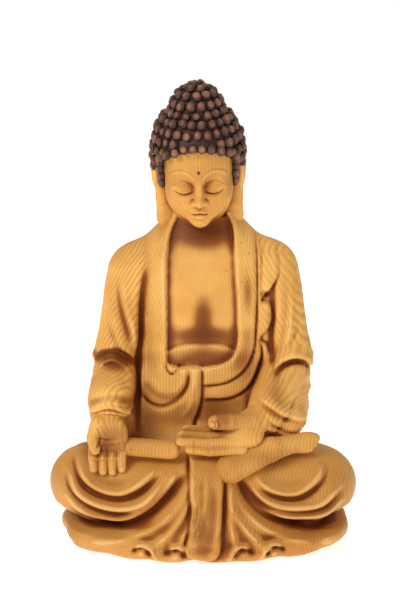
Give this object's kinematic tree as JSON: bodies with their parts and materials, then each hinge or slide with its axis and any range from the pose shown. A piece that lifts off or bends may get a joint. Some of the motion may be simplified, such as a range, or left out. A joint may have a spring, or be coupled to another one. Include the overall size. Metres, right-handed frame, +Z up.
{
  "type": "seated buddha statue",
  "caption": "Seated cross-legged devotional figure of joined carved wood blocks, with planted hair curls, pegged hands, bored well and felted base board.",
  "frame": {"origin": "on the floor, under the middle of the statue's box", "axes": "+Z up, the figure faces -Y, its left hand side is +X"},
  "size_m": [0.1978, 0.1313, 0.3012],
  "materials": {
    "carved_wood": "satin, dark stain in the hollows",
    "hair_stain": "dark brown stain, rubbed tops",
    "dowel_wood": "bare turned dowel",
    "bead_wood": "polished",
    "board_wood": "bare plywood",
    "felt": "pressed felt",
    "screw_brass": "turned"
  },
  "bodies": {
    "root": {"arm_dowel_lower_left": "dowel_wood", "arm_dowel_lower_right": "dowel_wood", "arm_dowel_upper_left": "dowel_wood", "arm_dowel_upper_right": "dowel_wood", "base_board": "board_wood", "base_felt": "felt", "base_screw_1": "screw_brass", "base_screw_2": "screw_brass", "base_screw_3": "screw_brass", "base_screw_4": "screw_brass", "brow_bead": "bead_wood", "curl_crown": "hair_stain", "curl_row_1": "hair_stain", "curl_row_10": "hair_stain", "curl_row_11": "hair_stain", "curl_row_12": "hair_stain", "curl_row_2": "hair_stain", "curl_row_3": "hair_stain", "curl_row_4": "hair_stain", "curl_row_5": "hair_stain", "curl_row_6": "hair_stain", "curl_row_7": "hair_stain", "curl_row_8": "hair_stain", "curl_row_9": "hair_stain", "ear_left": "carved_wood", "ear_right": "carved_wood", "elbow_dowel_left": "dowel_wood", "elbow_dowel_right": "dowel_wood", "foot_left": "carved_wood", "foot_right": "carved_wood", "front_drape": "carved_wood", "hair_cap": "hair_stain", "hair_peg": "dowel_wood", "hand_left": "carved_wood", "hand_right": "carved_wood", "head_block": "carved_wood", "lap_block": "carved_wood", "lap_dowel_back_left": "dowel_wood", "lap_dowel_back_right": "dowel_wood", "lap_dowel_front_left": "dowel_wood", "lap_dowel_front_right": "dowel_wood", "sleeve_left": "carved_wood", "sleeve_right": "carved_wood", "trunk_back": "carved_wood", "trunk_dowel_lower_left": "dowel_wood", "trunk_dowel_lower_right": "dowel_wood", "trunk_dowel_upper_left": "dowel_wood", "trunk_dowel_upper_right": "dowel_wood", "trunk_front": "carved_wood", "upper_arm_left": "carved_wood", "upper_arm_right": "carved_wood", "wrist_peg_left": "dowel_wood", "wrist_peg_right": "dowel_wood"}
  },
  "joints": []
}
